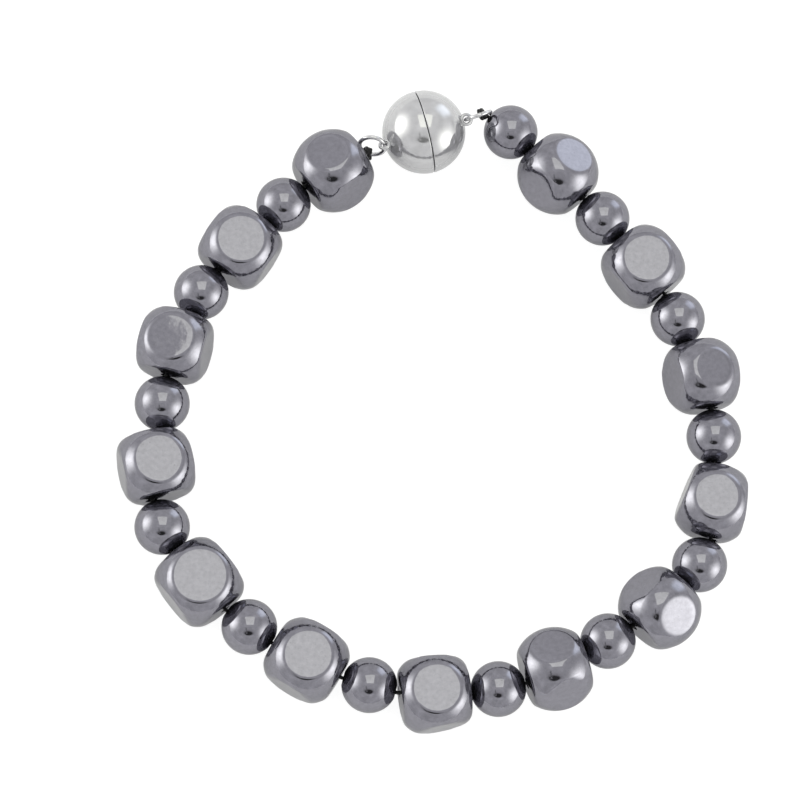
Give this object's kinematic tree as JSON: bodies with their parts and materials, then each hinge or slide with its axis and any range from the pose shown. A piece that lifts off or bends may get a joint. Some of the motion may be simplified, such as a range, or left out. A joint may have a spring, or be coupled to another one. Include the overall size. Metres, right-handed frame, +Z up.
{
  "type": "beaded bracelet",
  "caption": "Bracelet of polished round and corner-worn cube beads on a black cord, closed by a magnetic ball clasp with a jump ring each side; lies flat in a loop.",
  "frame": {"origin": "centre of the bounding box in plan, on the surface that the bracelet lies on", "axes": "+Z up, through the loop; +Y towards the clasp; +X to the right when seen from above with the clasp at the far side"},
  "size_m": [0.0744, 0.0774, 0.01],
  "materials": {
    "hematite": "mirror-polished hematite, dark grey with a faint violet tint",
    "plated_metal": "polished silver-coloured plating",
    "cord": "black waxed cord",
    "magnet": "bright nickel plating, hidden inside the clasp"
  },
  "bodies": {
    "root": {"round_bead_01": "hematite", "round_bead_02": "hematite", "round_bead_03": "hematite", "round_bead_04": "hematite", "round_bead_05": "hematite", "round_bead_06": "hematite", "round_bead_07": "hematite", "round_bead_08": "hematite", "round_bead_09": "hematite", "round_bead_10": "hematite", "round_bead_11": "hematite", "round_bead_12": "hematite", "round_bead_13": "hematite", "cube_bead_01": "hematite", "cube_bead_02": "hematite", "cube_bead_03": "hematite", "cube_bead_04": "hematite", "cube_bead_05": "hematite", "cube_bead_06": "hematite", "cube_bead_07": "hematite", "cube_bead_08": "hematite", "cube_bead_09": "hematite", "cube_bead_10": "hematite", "cube_bead_11": "hematite", "cube_bead_12": "hematite", "cube_bead_13": "hematite", "clasp_half_left": "plated_metal", "clasp_half_right": "plated_metal", "ring_left": "plated_metal", "ring_right": "plated_metal", "magnet_left": "magnet", "magnet_right": "magnet", "cord": "cord"}
  },
  "joints": []
}
